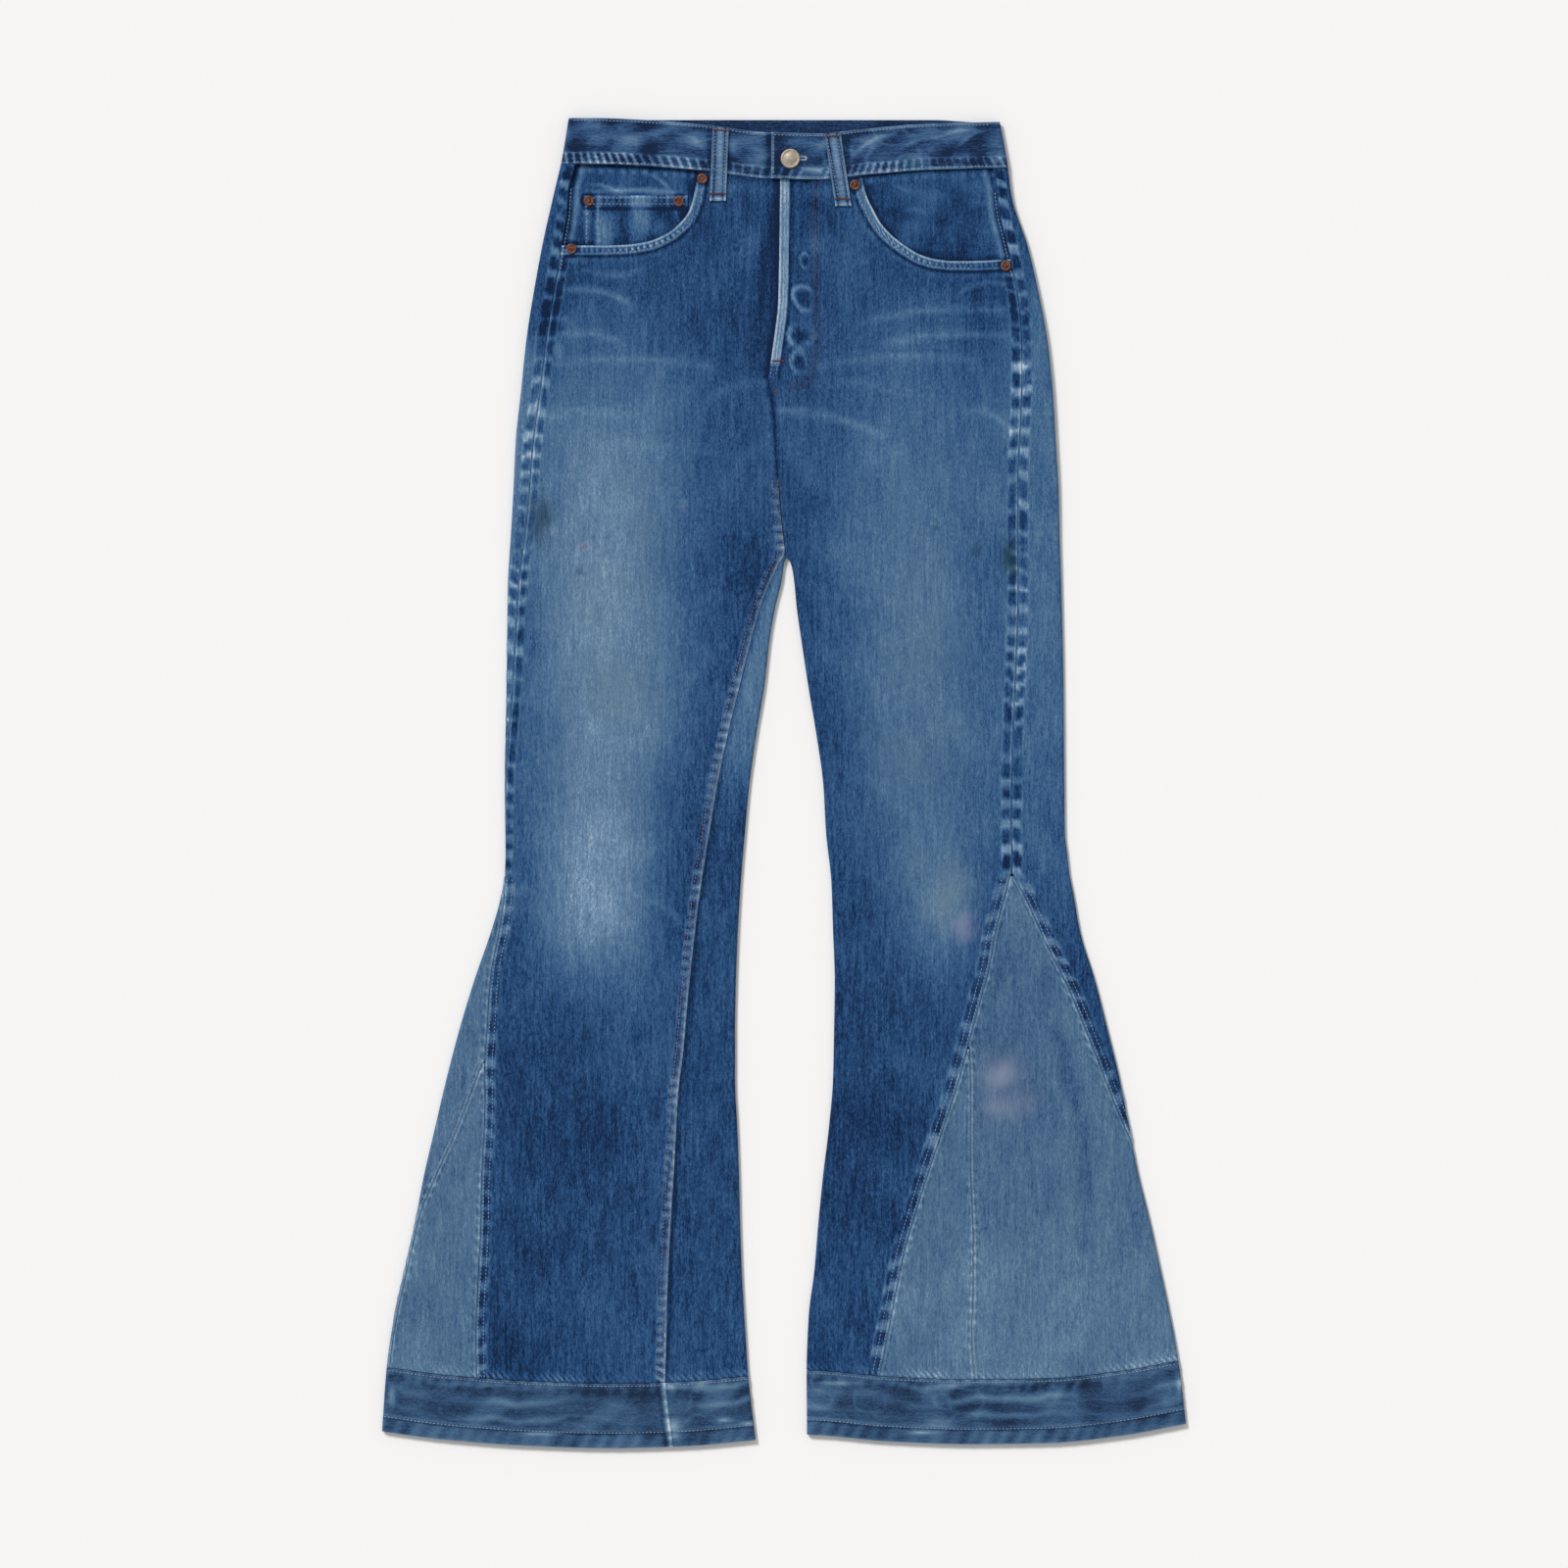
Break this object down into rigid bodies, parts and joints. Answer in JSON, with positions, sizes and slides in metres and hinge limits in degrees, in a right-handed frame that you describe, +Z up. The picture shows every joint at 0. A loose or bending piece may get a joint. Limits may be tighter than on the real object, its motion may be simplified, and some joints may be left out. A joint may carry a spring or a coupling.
{
  "type": "flared jeans",
  "caption": "Denim jeans laid flat, face up: button fly, scoop front pockets with a coin pocket, outer-leg gussets that flare below the knee, and faced hem bands",
  "frame": {"origin": "On the floor, under the middle of the garment's box: halfway across and halfway from hem to waist.", "axes": "+X runs to the wearer's left, +Y from the hems to the waist, and +Z up from the floor, out of the garment's front."},
  "size_m": [0.6968, 1.1525, 0.0132],
  "materials": {
    "indigo_denim": "worn, faded twill",
    "gusset_denim": "pale greyish twill",
    "hem_denim": "puckered twill",
    "band_denim": "abraded twill",
    "facing_denim": "dark unfaded twill",
    "rivet_copper": "tarnished copper",
    "button_brass": "worn pale brass"
  },
  "bodies": {
    "root": {"front_panel_right": "indigo_denim", "back_panel_right": "indigo_denim", "yoke_right": "indigo_denim", "gusset_outer_right": "gusset_denim", "gusset_inner_right": "gusset_denim", "hem_band_right": "hem_denim", "pocket_facing_right": "facing_denim", "back_pocket_right": "indigo_denim", "belt_loop_front_right": "band_denim", "rivet_mouth_inner_right": "rivet_copper", "rivet_mouth_outer_right": "rivet_copper", "front_panel_left": "indigo_denim", "back_panel_left": "indigo_denim", "yoke_left": "indigo_denim", "gusset_outer_left": "gusset_denim", "gusset_inner_left": "gusset_denim", "hem_band_left": "hem_denim", "pocket_facing_left": "facing_denim", "back_pocket_left": "indigo_denim", "belt_loop_front_left": "band_denim", "rivet_mouth_inner_left": "rivet_copper", "rivet_mouth_outer_left": "rivet_copper", "belt_loop_back_right": "band_denim", "belt_loop_back_centre": "band_denim", "belt_loop_back_left": "band_denim", "waistband": "band_denim", "coin_pocket": "indigo_denim", "fly_shield": "facing_denim", "rivet_coin_outer": "rivet_copper", "rivet_coin_inner": "rivet_copper", "waist_button": "button_brass"}
  },
  "joints": []
}
